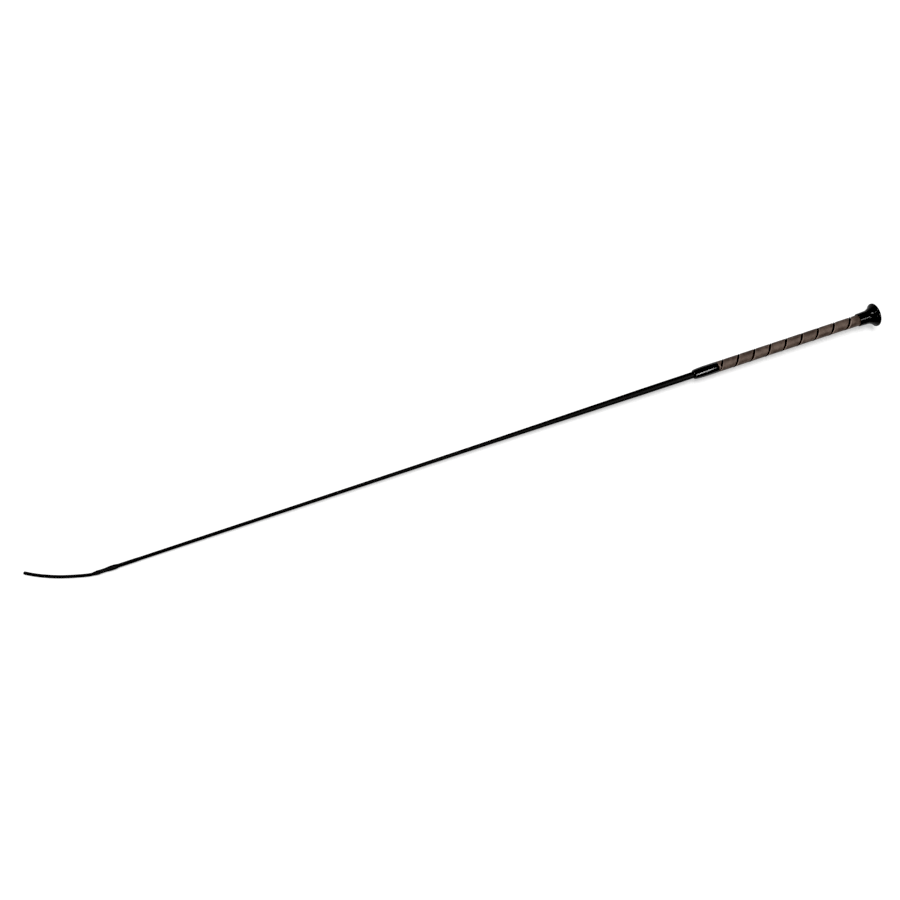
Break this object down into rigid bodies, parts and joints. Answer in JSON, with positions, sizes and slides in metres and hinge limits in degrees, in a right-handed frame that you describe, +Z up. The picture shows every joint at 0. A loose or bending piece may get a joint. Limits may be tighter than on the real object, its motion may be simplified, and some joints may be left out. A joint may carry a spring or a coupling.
{
  "type": "dressage whip",
  "caption": "Long riding whip with a mushroom cap, a wound suede-like grip with a spiral cord, a tapered ferrule, a slim braided shaft and a short cord lash.",
  "frame": {"origin": "the point on the surface that the whip lies on, under the middle of the whip without its free lash", "axes": "+X along the whip towards its cap, +Z up, +Y the side that the lash curves to"},
  "size_m": [1.1942, 0.0484, 0.031],
  "materials": {
    "cap_plastic": "glossy moulded black",
    "disc_plastic": "satin dark grey",
    "nail_steel": "bright drawn steel",
    "plug_wood": "turned, unvarnished",
    "tube_plastic": "extruded, matte",
    "underlay_foam": "closed-cell foam",
    "tape": "woven adhesive tape",
    "grip_suede": "napped nubuck-like, taupe, edges worn lighter",
    "grip_piping": "glossy black",
    "collar_plastic": "glossy moulded black",
    "glass_fibre": "pultruded, ground to a taper",
    "shaft_braid": "tight lacquered black braid",
    "lash_braid": "soft black braided cord",
    "binding_thread": "waxed black thread"
  },
  "bodies": {
    "whip": {"cap_body": "cap_plastic", "cap_end_disc": "disc_plastic", "cap_nail": "nail_steel", "butt_plug": "plug_wood", "handle_tube": "tube_plastic", "grip_underlay": "underlay_foam", "grip_end_tape": "tape", "grip_strip": "grip_suede", "grip_cord": "grip_piping", "front_collar": "collar_plastic", "core_rod": "glass_fibre", "shaft_cover": "shaft_braid", "lash_socket": "lash_braid", "main_binding": "binding_thread", "tail_binding": "binding_thread"},
    "lash": {"lash": "lash_braid"}
  },
  "joints": [
    {"name": "lash_sway", "type": "hinge", "parent": "whip", "child": "lash", "pos_m": [-0.56222, 0.0014, 0.00294], "axis": [0, 0, 1], "range_deg": [-60, 60], "deforming": ["lash"]}
  ]
}
